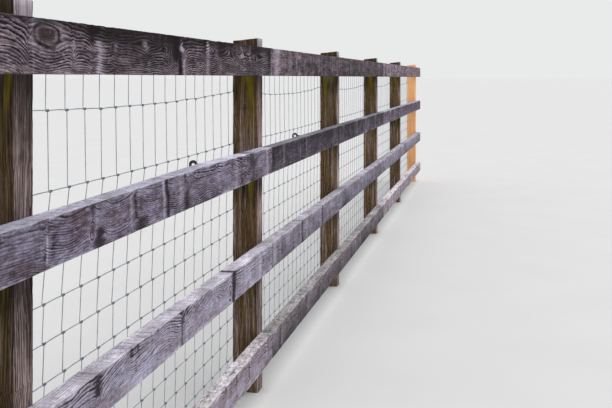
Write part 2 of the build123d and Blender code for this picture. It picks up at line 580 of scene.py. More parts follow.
def lay_rings(s, look):
    """Pale early wood and dark late wood, each ring with its own strength, with painted shade on the faces
    that don't look forward.
    """
    s.knot = s.attribute("knot") + s.wobble.swing(0.18) + s.blotch.swing(0.1)
    ring = s.attribute("ring") + s.wobble.swing(0.34) + s.speckle.swing(0.14)
    s.phase = s.math("FRACT", ring)
    number = {"W": s.math("FLOOR", ring)}
    own = s.node("ShaderNodeTexWhiteNoise", number, "Value", noise_dimensions="1D")
    strength = s.wide.spread(look.lines * 0.45, look.lines * 1.25) * s.attribute("lines")
    strength = s.math("MAXIMUM", strength * (own * 0.9 + 0.45), 0.0)
    strength = s.math("MINIMUM", strength, 1.0) * s.knot.band(0.98, 1.2)
    s.late = s.phase.band(0.22, 0.72) * s.phase.band(1.0, 0.93) * strength
    crest = s.phase.band(0.0, 0.1) * s.phase.band(0.3, 0.12) * strength
    bloom = s.blotch - s.ribs * 0.05
    early = s.mix(bloom.band(0.35, 0.65), look.front_warm, look.front_early)
    greyed = (s.strand + s.streak.swing(0.1)).band(0.4, 0.62)
    # Faces that don't look forward take the side colours, darker copies of the front ones: painted shade
    s.colour = s.mix(s.front, s.mix(greyed, look.side_early, look.side_grey), early)
    s.late_colour = s.mix(s.front, look.side_late, look.front_late)
    s.lay(s.late, s.late_colour)
    s.lay(crest * (s.front * 0.35), look.pale)


def lay_top_face(s, look):
    """Upper faces, bleached and crossed by saw marks, with lichen crusts, and arrises lightened partly by
    wear and partly as a painted highlight.
    """
    sides = s.colour
    slant = s.node("ShaderNodeMapping", {"Vector": s.grain, "Rotation": (0, 0, SAW_SLANT)})
    s.colour = s.mix(s.late * 0.6, look.top_early, look.top_late)
    s.lay(s.noise(slant, (120, 14, 14), 3, 0.6).band(0.54, 0.66) * 0.55, look.top_late)
    s.lay(s.broad_saw.band(0.44, 0.3) * s.speckle.band(0.38, 0.55) * 0.75, look.top_late)
    s.lay(s.crust.band(0.5, 0.6) * look.crust, look.moss)
    s.lay(s.crust.band(0.5, 0.4) * (0.8 * look.crust), look.pale)
    s.shade(s.broad_saw.swing(look.saw, 1))
    for noise in (s.blotch, s.wide, s.fleck):
        s.shade(noise.swing(look.mottle, 1))
    s.colour = s.mix(s.up, sides, s.colour)
    # Arrises lightened towards the top-face colour: partly wear, partly painted highlight
    s.lay(s.edge * s.blotch.band(0.42, 0.62) * look.wear, look.top_early)


def lay_fibres(s, look):
    """Loose pale fibres, saw marks and flecks."""
    s.lay((s.strand + s.streak.swing(0.08)).band(0.54, 0.68) * look.strands, look.pale)
    s.shade(s.strand.swing(look.strands, 1))
    fine = s.streak.swing(look.streak) + s.speckle.swing(look.speckle) + s.blotch.swing(look.blotch)
    fine = fine + s.saw.swing(look.saw) + s.saw_band.swing(look.saw * 1.3)
    fine = fine + s.rib.swing(0.5) * (s.ribs * (1.0 - s.up * 0.75))
    calm = 1.0 - s.up * 0.25
    s.shade(s.math("MAXIMUM", fine * calm + 1.0, 0.16))
    s.lay(s.fleck.band(0.56, 0.68) * (calm * look.flecks), s.late_colour)
    s.lay(s.fleck.band(0.42, 0.32) * (s.front * look.flecks) * 0.7, look.pale)


def lay_knots(s, look):
    """Knots with rings of their own, a broken rim of bark and a pale halo."""
    knot = s.knot
    s.lay(knot.band(0.75, 0.4) * 0.85, s.scale(look.core[:3], s.speckle.spread(0.5, 1.4)))
    s.lay(s.math("FRACT", knot * 3.1).band(0.4, 0.9) * knot.band(0.95, 0.8) * 0.3, look.stain)
    s.bark = knot.band(0.84, 0.98) * knot.band(1.22, 1.06) * s.blotch.band(0.36, 0.56)
    s.bark = s.bark * s.streak.spread(0.6, 1.25)
    s.lay(s.bark * 0.95, look.stain)
    halo = knot.band(1.14, 1.26) * knot.band(1.7, 1.3)
    s.lay(halo * s.speckle.spread(0.0, 0.5 * look.halo), look.pale)


def lay_stains(s, look):
    """The board's own tone, pale streaks, torn whorl bands, rust under the nails and drying checks."""
    s.shade(s.tint + 1.0)
    s.lay(s.pale * s.streak.band(0.2, 0.55) * (1.0 - s.late * 0.75) * (1.0 - s.up), look.pale)
    torn = s.dark + s.wobble.swing(0.28) + s.streak.swing(0.5) + (s.late - 0.35) * 0.6
    torn = torn.band(0.15, 1.05) * s.dark.band(0.03, 0.3)
    shelter = s.up * s.dark.band(1.2, 0.8)
    depth = s.dark.band(1.0, 1.6) * 0.11 + 0.86
    s.lay(torn * (depth - shelter * 0.66), look.stain)
    s.lay((s.attribute("nail") + s.streak.swing(0.25)).band(0.25, 0.95) * 0.75, look.stain)
    s.check = s.split.band(0.56, 0.64) * (s.phase.band(0.80, 0.86) * s.phase.band(0.94, 0.9))
    s.lay(s.check * 0.7, look.stain)


def lay_growth(s, look):
    """Moss and lichen, and algae down the posts."""
    grown = s.attribute("moss") + s.up * look.lichen
    for noise, reach in ((s.blotch, 0.8), (s.streak, 0.5), (s.speckle, 0.4)):
        grown = grown * (noise.swing(reach) + 1.0)
    grown = grown * (1.0 - s.pale * 0.8)
    cover = grown.band(0.25, 0.8) * s.speckle.spread(look.moss_cover, 0.62 * look.moss_cover)
    s.lay(cover * s.strand.spread(1.1, 0.8), s.scale(look.moss[:3], s.speckle.spread(0.2, 1.8)))
    slime = (s.attribute("algae") + s.streak.swing(0.3)).band(0.2, 0.9)
    s.lay(slime, s.scale(look.algae[:3], s.streak.spread(0.55, 1.45)))


def make_look(codes, *shares):
    """Look from its colours and shares, in the order of its fields."""
    return Look(*[tone(code) for code in codes.split()], *shares)


# Each look's side colours are darker copies of its front ones, painted shade for the faces turned away from
# the front
LOOKS = {
    "top_rail_wood": make_look(
        "927e86 5b4d54 0e080a 6a5d59 6c6266 29211e 8f8990 4b4448 160b0f b7aebd 3f3231 1c0f12 4b4323",
        1.35, 0.12, 0.46, 0.3, 0.25, 0.16, 0.26, 0.12, 0.5, 0.25, 0.88, 0.3, 1,
    ),
    "upper_rail_wood": make_look(
        "888196 6c5c6a 1c1218 726761 7a7074 3e3530 cdcbdc 837e8e 1e151c c5bed2 4c4042 4a4538 595326",
        0.95, 0.1, 0.34, 0.32, 0.22, 0.2, 0.26, 0.12, 0.45, 0.6, 0.5, 0, 1,
    ),
    "lower_rail_wood": make_look(
        "a8a4b9 968b99 332b36 837871 8f868e 4b423d c8c2ce 807985 271d26 d2ccde 695e5b 6c6954 69653f",
        0.95, 0.08, 0.28, 0.24, 0.16, 0.18, 0.26, 0.12, 0.35, 0.7, 0.5, 0.05, 1,
    ),
    "bottom_rail_wood": make_look(
        "a69db0 938487 4a3e46 837871 8f878c 4b423c d0c8d0 8c8689 1f1a1f d1c9da 695e5b 76775f 6a663d",
        0.8, 0.1, 0.3, 0.28, 0.2, 0.18, 0.42, 0.9, 0.4, 0.7, 0.7, 0.3, 1,
    ),
    "post_wood": make_look(
        "84716f 5b4a44 281e1b 523f28 5f5044 1c140e 4b4536 2a251b 100b07 b9b0b8 150e09 2c2411 655a08",
        0.7, 0.13, 0.56, 0.42, 0.34, 0.06, 0.26, 0.12, 0.2, 0.2, 0.8, 0.35, 0.08,
    ),
    "new_post_wood": make_look(
        "d2a582 c8976b b6814d c8966b cd9d6f a7723b d8aa76 b98448 7d5226 dcba9b 9a6530 8c7a40 a5853c",
        0.6, 0.05, 0.12, 0.06, 0.06, 0.04, 0.08, 0, 0, 0.1, 0.1, 0, 0.3,
    ),
}
WOODS = {slot: weathered_wood(slot, look) for slot, look in LOOKS.items()}


def rows_of(kind, **levels):
    """Marks of one kind for the rails of each level."""
    return {level: [kind(*row) for row in rows] for level, rows in levels.items()}


def small_knot(along, *sizes):
    """Knot from its place in metres, and its height and half sizes in millimetres."""
    return Knot(along, *[size * MM for size in sizes])


# Figures of the rails that the camera sees from close by: places along X, sizes in millimetres as
# seen in the photograph, and heights from the middle of the rail or as shares of its height
NEAR_KNOTS = rows_of(
    small_knot,
    top=[
        (0.42, 18, 20, 13), (1.12, -12, 16, 11), (1.798, 22, 53, 23), (1.911, 2, 5, 9), (2.298, 22, 20, 8),
        (2.57, 18, 19, 9), (2.765, 14, 12, 8), (3.078, 16, 22, 20),
    ],
    upper=[(0.75, 10, 18, 12), (2, -8, 12, 19), (2.59, -12, 11, 16), (3.057, 26, 14, 12)],
    lower=[(0.95, -8, 20, 13), (2.032, 16, 8, 15), (3.03, -11, 19, 23), (3.46, 12, 18, 14)],
    bottom=[(1.4, 0, 18, 12), (2.4, 10, 14, 11), (3.26, 4, 8, 12)],
)
NEAR_WHORLS = rows_of(
    Whorl,
    top=[
        (0.4, -14, 40, -6, 25, 7, 0.6, 0.2, 1, -0.5), (1.1, -12, 40, -6, 25, 7, 0.5, 0, 0.8, -0.5),
        (1.728, -34, 70, -2, 10, 12, 0.5, 0.45, 0.95, -0.4), (1.911, -8, 14, -8, 14, 3, 0.6, 0.4, 0.55, 0),
        (2.002, -24, 40, -3, 15, 24, 1.4, 0.64, 1, -0.6), (2.11, 9, 30, 8, 40, 40, 0.35, 0, 0.5, 0.4),
        (2.3, -5, 40, -5, 40, 60, 0.3, 0.65, 1, 0), (2.42, 4, 30, 4, 30, 12, 1, 0.66, 1, 0),
        (2.475, 0, 20, 0, 20, 26, 1.1, 0.62, 1, -0.4), (2.522, -26, 60, 0, 20, 26, 2.2, 0.4, 0.95, -0.8),
        (2.553, 0, 20, -26, 45, 13, 1.9, 0, 0.6, 0.4), (2.59, 0, 20, 0, 20, 16, 1, 0.72, 0.9, -0.8),
        (2.768, -12, 30, -8, 22, 14, 1.1, 0.58, 1, -0.2), (2.93, -16, 45, -14, 45, 34, 1.2, 0.56, 1, -0.6),
        (3.04, 0, 30, 0, 30, 30, 1, 0.56, 1, 0), (3.34, -12, 60, -22, 80, 60, 0.95, 0.6, 1, -0.3),
        (3.545, -10, 40, -4, 30, 20, 0.9, 0, 1, -0.5),
    ],
    upper=[
        (0.74, 12, 30, 12, 50, 6, 0.6, 0.1, 0.9, 0.6), (1.35, 12, 30, 12, 50, 6, 0.7, 0, 0.8, 0.6),
        (1.79, -18, 110, 24, 55, 5, 0.6, 0.2, 0.65, 0.5), (1.822, 0, 30, 0, 30, 16, 0.8, 0.2, 0.66, 0),
        (1.86, 0, 30, 0, 30, 24, 0.7, 0.82, 1, 0), (1.905, 0, 30, 0, 30, 14, 0.6, 0.72, 0.95, 0),
        (2, 26, 60, 4, 30, 16, 1.1, 0.64, 1, 0), (2.034, 6, 35, 38, 60, 22, 1.4, 0, 0.4, 0.7),
        (2.24, 22, 50, 8, 40, 10, 1, 0.36, 0.9, 0), (2.268, 6, 35, 26, 60, 20, 1, 0, 0.26, 0.9),
        (2.452, 24, 50, 16, 50, 14, 1.4, 0, 1, -0.2), (2.592, 14, 30, 6, 55, 12, 0.9, 0.72, 1, 0),
        (2.606, 12, 30, 22, 65, 18, 1.2, 0, 0.5, 1), (2.845, 0, 30, 0, 30, 22, 0.5, 0.06, 0.2, 0),
        (2.896, 4, 30, 4, 30, 13, 0.6, 0.86, 1, 0), (3.057, 14, 70, 6, 40, 16, 0.75, 0.66, 1, -0.6),
        (3.18, -30, 60, 0, 40, 20, 0.7, 0.12, 0.28, 0), (3.29, -26, 70, -18, 60, 17, 0.7, 0.58, 1, -0.3),
        (3.5, 8, 40, 8, 40, 10, 0.4, 0, 1, 0.6),
    ],
    lower=[
        (0.6, -12, 30, -12, 30, 7, 0.7, 0.2, 1, -0.5), (1.3, -14, 30, -14, 30, 7, 0.6, 0, 0.9, -0.5),
        (1.99, 0, 30, 0, 30, 26, 0.4, 0.3, 0.4, 0), (2.024, -14, 40, -48, 62, 19, 1.3, 0.5, 1, -0.5),
        (2.206, 26, 60, 4, 25, 11, 1.25, 0.8, 1, 0), (2.236, 0, 30, 0, 30, 4, 0.8, 0.33, 0.6, 0),
        (2.246, 0, 30, 0, 30, 9, 1.2, 0.8, 1, 0), (2.385, 0, 30, 0, 30, 9, 1.2, 0.92, 1, 0),
        (2.42, 0, 30, 0, 30, 50, 0.45, 0.9, 1, 0), (2.573, -8, 40, -22, 60, 14, 1.1, 0.62, 1, -0.4),
        (2.566, -4, 40, -8, 40, 7, 1, 0, 0.66, 0.4), (2.606, 0, 30, 0, 30, 20, 0.8, 0.76, 1, -0.8),
        (2.68, 6, 30, -14, 50, 10, 0.4, 0.5, 1, 0), (3.076, -12, 30, -12, 30, 24, 1.7, 0, 1, -0.2),
        (3.435, -10, 30, -10, 30, 24, 0.55, 0, 1, 0),
    ],
    bottom=[
        (0.85, -12, 30, -12, 30, 7, 0.6, 0.2, 1, 0), (1.95, -12, 30, -12, 30, 7, 0.6, 0, 0.9, 0),
        (2.97, -12, 30, -12, 30, 8, 0.9, 0.8, 1, 0), (3.1, -10, 30, -10, 30, 10, 0.8, 0.5, 1, 0),
        (3.267, -8, 30, -8, 30, 9, 0.9, 0.3, 0.8, 0), (3.53, -8, 30, -8, 30, 9, 0.8, 0.2, 0.9, 0),
    ],
)
NEAR_STREAKS = rows_of(
    Streak,
    top=[
        (0.44, 8, 0.5, 0, 1, 4), (1.745, 5, 0.5, 0.1, 0.9, 0), (1.911, 5, 0.7, 0.36, 0.6, 0),
        (2.022, 13, 0.9, 0, 0.66, 14), (2.12, 8, 0.4, 0.52, 0.62, 0), (2.3, 24, 0.9, 0.6, 0.8, 0),
        (2.588, 10, 1, 0.02, 0.42, -8), (2.57, 18, 1, 0.62, 0.8, 0), (2.79, 16, 1, 0, 0.92, 6),
        (3.15, 9, 0.6, 0.55, 0.9, 12), (3.275, 10, 0.7, 0.5, 1, -6), (3.59, 14, 0.6, 0, 0.9, 0),
    ],
    upper=[
        (0.7, 8, 0.5, 0, 1, 4), (1.797, 4, 0.9, 0.15, 0.62, 0), (2.21, 8, 0.6, 0.15, 0.9, 0),
        (2.424, 8, 0.95, 0, 1, 0), (2.55, 17, 0.5, 0.2, 0.8, 5), (3.1, 30, 0.35, 0.1, 0.8, 0),
        (3.52, 20, 0.6, 0, 1, 0),
    ],
    lower=[
        (0.7, 8, 0.5, 0, 1, 4), (2.06, 10, 0.4, 0.5, 0.9, 0), (2.6, 12, 0.45, 0, 1, 0),
        (3.062, 8, 0.8, 0.15, 0.5, 4), (3.41, 16, 0.5, 0, 1, 0),
    ],
    bottom=[(0.9, 8, 0.5, 0, 1, 4), (3, 14, 0.4, 0.2, 1, 0)],
)
NEAR_CALMS = rows_of(
    Calm,
    top=[
        (1.75, 0.3, 0, 0.15, 0.4), (2.42, 0.12, 0, 1, -0.6), (2.75, 0.15, 0, 1, -0.4),
        (3.15, 0.35, 0.2, 1, -0.9),
    ],
    upper=[
        (1.62, 0.24, 0, 1, 0.2), (2.15, 0.1, 0.1, 0.9, -0.1), (2.75, 0.12, 0, 1, -0.25),
        (3.25, 0.12, 0, 1, -0.4),
    ],
    lower=[
        (1.85, 0.12, 0, 1, 0.35), (2.2, 0.25, 0, 0.3, 0.55), (2.38, 0.14, 0.1, 1, 0.1),
        (2.9, 0.3, 0, 0.42, 0.75), (3.35, 0.2, 0, 1, 0.5),
    ],
    bottom=[(3.2, 0.3, 0, 0.4, 0.3)],
)
NEAR_EYES = rows_of(
    Eye,
    top=[(2.45, 22, 60, 14, 3), (2.89, 30, 45, 15, 3), (3.12, 32, 100, 17, 4.5), (3.36, 26, 90, 16, 3.5)],
    upper=[(2.15, -6, 60, 22, 2.5), (2.78, -10, 80, 22, 2.5), (3.36, 0, 100, 30, 4.5)],
    lower=[(2.36, 14, 70, 18, 2.5), (2.68, -6, 60, 24, 3), (2.86, 12, 70, 18, 3)],
    bottom=[(3.05, -10, 80, 20, 2.5)],
)
NEAR_TINTS = rows_of(
    Tint,
    top=[
        (1.66, 0.08, 0.15), (1.8, 0.04, -0.12), (2.12, 0.06, -0.24), (2.28, 0.18, -0.4), (2.5, 0.08, -0.2),
        (2.64, 0.05, 0), (2.78, 0.1, -0.14), (3, 0.16, -0.25), (3.35, 0.12, -0.25), (3.57, 0.05, -0.3),
    ],
    upper=[
        (1.66, 0.08, -0.2), (1.8, 0.06, -0.12), (2.12, 0.07, -0.12), (2.42, 0.06, -0.14),
        (2.75, 0.1, -0.06), (2.9, 0.06, 0.12), (3.1, 0.07, 0.2), (3.32, 0.06, -0.52), (3.55, 0.05, 0.06),
    ],
    lower=[
        (2, 0.05, -0.22), (2.3, 0.05, 0.06), (2.42, 0.05, -0.08), (2.7, 0.1, 0.12), (2.95, 0.06, 0.06),
        (3.2, 0.08, 0.14), (3.34, 0.05, 0.08), (3.52, 0.06, -0.2),
    ],
    bottom=[(2.9, 0.1, 0.08), (3.2, 0.05, -0.12), (3.4, 0.1, 0.04), (3.52, 0.05, -0.1)],
)
NEAR_RINGS = {"top": 5.4 * MM, "upper": 4.4 * MM, "lower": 4.9 * MM, "bottom": 5.2 * MM}

# For the three lengths of each level: tone of the sides and of the upper face, lean of the tone
# from the lower to the upper edge (partly damper wood, partly painted shade), and strength of the late wood
RAIL_TONES = {
    "top": ((-0.16, -0.16, -0.24, 1.2), (-0.46, -0.36, 0.14, 0.2), (0.4, 0.4, 0.2, 0.2)),
    "upper": ((-0.06, 0.02, 0.02, 0.86), (-0.63, -0.56, -0.12, 0.4), (-0.27, -0.15, -0.12, 0.4)),
    "lower": ((0.02, 0.16, 0.0, 1.0), (-0.36, -0.14, 0.18, 0.5), (-0.22, -0.15, 0.22, 0.5)),
    "bottom": ((0.02, 0.3, 0.03, 1.0), (-0.56, -0.2, 0.2, 0.5), (0.08, 0.6, 0.12, 0.5)),
}

# Marks of single lengths: the tone and streaks beside a joint, an upper edge that rises by some
# millimetres, and cracks
JOINT_TINTS = {("top", 2): [Tint(3.75, 0.4, 0.42)]}
JOINT_STREAKS = {
    ("top", 2): [Streak(3.67, 40, 0.8, 0, 1, 0)],
    ("lower", 2): [Streak(3.64, 25, 0.5, 0, 1, 0)],
}
CROWNS = {("upper", 1): (2.75, 0.6, 7 * MM)}
CRACKS = {
    ("lower", 2): [
        Whorl(4.16, 0, 30, 0, 30, 10, 1.9, 0, 1, 0.1),
        Whorl(4.65, 0, 30, 0, 30, 10, 1.8, 0, 1, 0),
    ],
}

# Light and dark bars across the sides, which stand out on the lengths seen from afar
NEAR_RIBS = 0.2
FAR_RIBS = {"top": 1.5, "upper": 1.3, "lower": 0.55, "bottom": 1.1}

# How the whorls bend the rings on each level, and how far chips break the arrises
WHORL_LIFTS = {"top": -14, "upper": 14, "lower": -14, "bottom": -10}
CHIP_DEPTHS = {"top": 6 * MM, "upper": 1.6 * MM, "lower": 1.6 * MM, "bottom": 1.6 * MM}
POST_CHIP_DEPTH = 2.5 * MM

# How many cross-sections a board has, and how many points each of them has on every face
RAIL_DETAILS = (Detail(500, 38, 11, 12, 6), Detail(200, 22, 7, 9, 5), Detail(150, 16, 6, 8, 4))
POST_DETAIL = Detail(100, 14, 20, 14, 20)
NEAR_POST_DETAIL = Detail(150, 26, 34, 20, 34)
NEAR_POSTS = (2, 3)


def drawn_figure(rng, start, end, half_w, lift):
    """Figure of a board seen from afar: a whorl of branches every foot or so, some with a knot."""
    knots = []
    whorls = []
    streaks = []
    place = start + rng.uniform(0.1, 0.3)
    while place < end - 0.06:
        low = rng.choice([0.0, 0.0, 0.3])
        whorls.append(Whorl(
            place, lift * rng.uniform(0.5, 1.2), rng.uniform(20, 50), lift * rng.uniform(0.2, 1.2),
            rng.uniform(20, 50), rng.uniform(5, 14), rng.uniform(0.35, 0.95), low,
            rng.uniform(0.7, 1.0), rng.uniform(-1.2, 1.2),
        ))
        aside = rng.choice([-1, 1]) * rng.uniform(0.014, 0.03)
        streaks.append(Streak(
            place + aside, rng.uniform(8, 22), rng.uniform(0.1, 0.34), rng.uniform(-0.2, 0.4),
            rng.uniform(0.6, 1.1), rng.uniform(-6, 6),
        ))
        if rng.random() < 0.5:
            knots.append(Knot(
                place + rng.uniform(-0.02, 0.02), rng.uniform(-0.5, 0.5) * half_w,
                rng.uniform(9, 24) * MM, rng.uniform(8, 15) * MM,
            ))
        place += rng.uniform(0.16, 0.42)
    tints = [
        Tint(rng.uniform(start, end), rng.uniform(0.04, 0.2), rng.uniform(-0.2, 0.2)) for _ in range(9)
    ]
    return Figure(
        pith_back=rng.uniform(20, 60) * MM, pith_rise=rng.uniform(-0.6, 0.9) * half_w,
        ring_width=rng.uniform(3.2, 4.6) * MM, sway=5 * MM,
        knots=knots, whorls=whorls, streaks=streaks, tints=tints,
    )


def rail_growth(level, number):
    """Rule for moss on a rail: a ragged dark upper edge on the nearest top one, little on the others."""
    amount = {"top": 1.0 if number == 1 else 0.35, "upper": 0.35, "lower": 0.0, "bottom": 0.2}[level]

    def rule(place, facing, height):
        reach = 0.08
        if level == "top":
            reach = 0.10 + 0.24 * smooth(place[0], 1.98, 2.25) - 0.14 * smooth(place[0], 2.62, 2.74)
        ragged = height + 0.16 * lattice_noise(place, (6, 8, 8), 31)
        none = np.zeros(height.shape)
        return amount * smooth(ragged, 1 - 1.8 * reach, 1 - 0.3 * reach), none, none

    return rule


def rail_figure(rng, level, number, low, high):
    """Figure of one rail: drawn at random far away, and as in the photograph on the nearest length."""
    half_w = (high.z - low.z) / 2
    figure = drawn_figure(rng, low.x, high.x, half_w, WHORL_LIFTS[level])
    if number == 1:
        figure = figure._replace(
            pith_back=40 * MM, pith_rise=1.7 * half_w, ring_width=NEAR_RINGS[level], sway=7 * MM,
            knots=NEAR_KNOTS[level], whorls=NEAR_WHORLS[level], streaks=NEAR_STREAKS[level],
            eyes=NEAR_EYES[level], tints=NEAR_TINTS[level], calms=NEAR_CALMS[level],
        )
    length = (level, number)
    base_tint, top_tint, lean, lines = RAIL_TONES[level][number - 1]
    return figure._replace(
        base_tint=base_tint, top_tint=top_tint, lean=lean, lines=lines,
        ribs=NEAR_RIBS if number == 1 else FAR_RIBS[level], crown=CROWNS.get(length),
        tints=figure.tints + JOINT_TINTS.get(length, []),
        streaks=figure.streaks + JOINT_STREAKS.get(length, []),
        whorls=figure.whorls + CRACKS.get(length, []),
    )


def make_rails():
    """Every rail, with close cross-sections on the nearest lengths."""
    rng = np.random.default_rng(11)
    for order, level in enumerate(RAIL_LEVELS):
        for number in range(1, RAIL_COUNT + 1):
            node = f"{level}_rail_{number}"
            make_board(
                node, False, rail_figure(rng, level, number, *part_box(node)),
                RAIL_DETAILS[min(number, len(RAIL_DETAILS)) - 1], 10 * order + number,
                CHIP_DEPTHS[level], rail_growth(level, number), seen=number == 1,
            )


# Posts: the height of the sloped top's lower edge, the knots on the nearest ones, with heights
# from the ground and places across from the post's middle, and where the algae run down
POST_BACK_TOP = 1.363
POST_KNOTS = {
    2: [small_knot(0.18, 12, 16, 9)],
    3: [small_knot(1.105, 4, 19, 7), small_knot(1.19, -12, 10, 5)],
    4: [small_knot(0.459, 8, 15, 12), small_knot(0.8, 20, 12, 6)],
}
POST_TINTS = {2: -0.06, 3: 0.62}
FAR_POST_TINT = 0.95
ALGAE_PLACES = {2: 0.030, 3: -0.020, 4: 0.018}
RAIL_UNDERSIDES = [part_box(f"{level}_rail_1")[0].z for level in RAIL_LEVELS]
ALGAE_DROPS = (0.10, 0.13, 0.22)
NEW_POST_AGE = 0.12


def post_growth(run_place, age):
    """Rule for algae on a post, in streaks that run down from each rail, and a mossy, bleached top."""

    def rule(place, facing, height):
        u, v, _ = place
        front = facing[:, 1] < -0.5
        moss = smooth(u, 1.30, 1.35) * (0.85 - 0.7 * front)
        bleached = smooth(u, 1.318, 1.335) * front
        wander = 5 * MM * lattice_noise(place, (9, 0, 0), 47)
        run = hump(v - run_place - wander, 11 * MM) + 0.5 * hump(v + run_place + 2 * wander, 8 * MM)
        algae = np.zeros(u.shape)
        for base, reach in zip(RAIL_UNDERSIDES[1:], ALGAE_DROPS):
            drop = np.where(u < base + 0.03, np.exp(-np.maximum(base - u, 0) / reach), 0)
            algae = np.maximum(algae, drop * np.abs(facing[:, 0]) * (0.25 + 0.85 * run))
        return age * moss, age * algae, age * bleached

    return rule


def post_figure(rng, number, low, high):
    """Figure of one post: faint whorls, and darker wood under each rail, partly damp and partly painted
    shade of the rail.
    """
    figure = drawn_figure(rng, 0, high.z, (high.x - low.x) / 2, 8)
    tint = POST_TINTS.get(number, FAR_POST_TINT)
    shade = 0.1 if number == POST_COUNT else 0.6
    # Darker band just under each rail: partly damp wood, partly painted shade cast by the rail
    damp_and_shade = [Tint(base - 0.02, 0.07, -shade * (1 + tint)) for base in RAIL_UNDERSIDES[1:]]
    return figure._replace(
        pith_back=rng.uniform(60, 85) * MM, pith_rise=rng.uniform(48, 70) * MM,
        whorls=[whorl._replace(dark=0.4 * whorl.dark, width=12) for whorl in figure.whorls],
        streaks=[], knots=POST_KNOTS.get(number, figure.knots[:2]), tints=figure.tints + damp_and_shade,
        base_tint=tint,
    )


def make_posts():
    """Every post, with its own figure and algae."""
    rng = np.random.default_rng(23)
    for number in range(1, POST_COUNT + 1):
        node = f"post_{number}"
        figure = post_figure(rng, number, *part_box(node))
        run_place = ALGAE_PLACES.get(number, rng.uniform(-0.03, 0.03))
        growth = post_growth(run_place, NEW_POST_AGE if number == POST_COUNT else 1)
        detail = NEAR_POST_DETAIL if number in NEAR_POSTS else POST_DETAIL
        make_board(node, True, figure, detail, 100 + number, POST_CHIP_DEPTH, growth)


make_rails()
make_posts()

# Netting: round wires where the CAD ones are, with the same spacings
STAYS_PER_BAY = 19
NEAR_BAYS = 2
LINE_RADIUS = 1.35 * MM
STAY_RADIUS = 1.1 * MM
COIL_RADIUS = 2.5 * MM
COIL_TURNS = 1.75
COIL_REACH = 4.8 * MM
COIL_INNER = 1.3 * MM
WIRE_SAG = 26 * MM
SLACK_WIRES = 2
WIRE_END_GAP = 0.4 * MM
POST_BULGE = 2.6 * MM
BOW_SHAPE = ((0.16, 0.3), (0.42, 0.9), (0.7, 0.8))
FIRM_BOW = 0.9 * MM
SLACK_BOW = 1.3 * MM
NET_LOW, NET_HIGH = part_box("line_wires")
STAY_LOW, STAY_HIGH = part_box("netting_stays_1")
WIRE_Y = (NET_LOW.y + NET_HIGH.y) / 2
STAY_STEP = BAY / STAYS_PER_BAY
FIRST_STAY = STAY_LOW.x + (STAY_HIGH.x - STAY_LOW.x - (STAYS_PER_BAY - 1) * STAY_STEP) / 2
STAY_COUNT = STAYS_PER_BAY * (POST_COUNT - 1) + 1

# For each line wire from the ground up: how far its crossings wander along the fence, and how
# far the firm ones sag, in millimetres. On one post the slack wires are stapled lower
STAY_WANDER = (0, 1, 2, 2, 0, -2, -4, -6, -6, 5, 25, 9, 2)
FIRM_SAGS = (0, 0, 0, 0, 0, 0, 1, 1, 2, 3, 6)
LOW_STAPLE_POST = 2
LOW_STAPLE_DROP = 16 * MM

# A staple's shape across the wire and out from the post, and a nail head's as pairs of distance
# along and radius in millimetres
STAPLE_ACROSS = np.array([1, 1, 0.9, 0.45, 0, -0.45, -0.9, -1, -1])
STAPLE_OUT = np.array([-6.0, 1.6, 3.2, 4.3, 4.7, 4.3, 3.2, 1.6, -6.0]) * MM
STAPLE_RADIUS = 1.25 * MM
STAPLE_MISSING = 0.2
NAIL_PROFILE = ((4, 1.5), (1.2, 3.9), (0.9, 4.2), (0.45, 4.1), (0.2, 3.5), (0.1, 2), (0.1, 0.4))


def wire_levels():
    """Height of each line wire at the run's start, from the ends of the CAD wires."""
    points = frame["nodes"]["line_wires"].data.vertices
    edges = sorted({round(p.co.z, 5) for p in points if p.co.x < NET_LOW.x + MM})
    return [(a + b) / 2 for a, b in zip(edges[::2], edges[1::2])]


def spokes(count):
    """Angles spread evenly round a circle."""
    return 2 * np.pi * np.arange(count) / count


class Parts:
    """Points and faces gathered for one mesh."""

    def __init__(self):
        self.points = []
        self.quads = []
        self.caps = []
        self.values = []
        self.count = 0

    def grid(self, points, value=0.0):
        """Skin over rows of points that each close on themselves, with flat ends."""
        rows, size = points.shape[:2]
        index = np.arange(rows * size).reshape(rows, size) + self.count
        around = np.roll(index, -1, axis=1)
        quads = np.stack([index[:-1], around[:-1], around[1:], index[1:]], -1)
        self.quads.append(quads.reshape(-1, 4))
        self.caps += [index[0][::-1].tolist(), index[-1].tolist()]
        self.points.append(points.reshape(-1, 3))
        values = np.broadcast_to(np.asarray(value, float), (rows,))
        self.values.append(np.repeat(values, size))
        self.count += rows * size

    def tube(self, path, radius, sides, reference, value=0.0):
        """Closed round bar along a path, with its own value at each point of it."""
        ahead = np.gradient(path, axis=0)
        ahead /= np.linalg.norm(ahead, axis=1)[:, None]
        first = np.cross(ahead, reference)
        first /= np.linalg.norm(first, axis=1)[:, None]
        second = np.cross(ahead, first)
        angles = spokes(sides)[None, :, None]
        ring = np.cos(angles) * first[:, None] + np.sin(angles) * second[:, None]
        self.grid(path[:, None] + radius * ring, value)

    def build(self, name, material, slot, *nodes):
        """Finished piece that rides on the fence and stands for its CAD nodes."""
        attributes = {"coil_shade": np.concatenate(self.values)}
        points = np.concatenate(self.points)
        piece = finish_mesh(name, points, np.concatenate(self.quads), self.caps, attributes, material)
        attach(piece, "root")
        if nodes:
            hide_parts(*nodes)


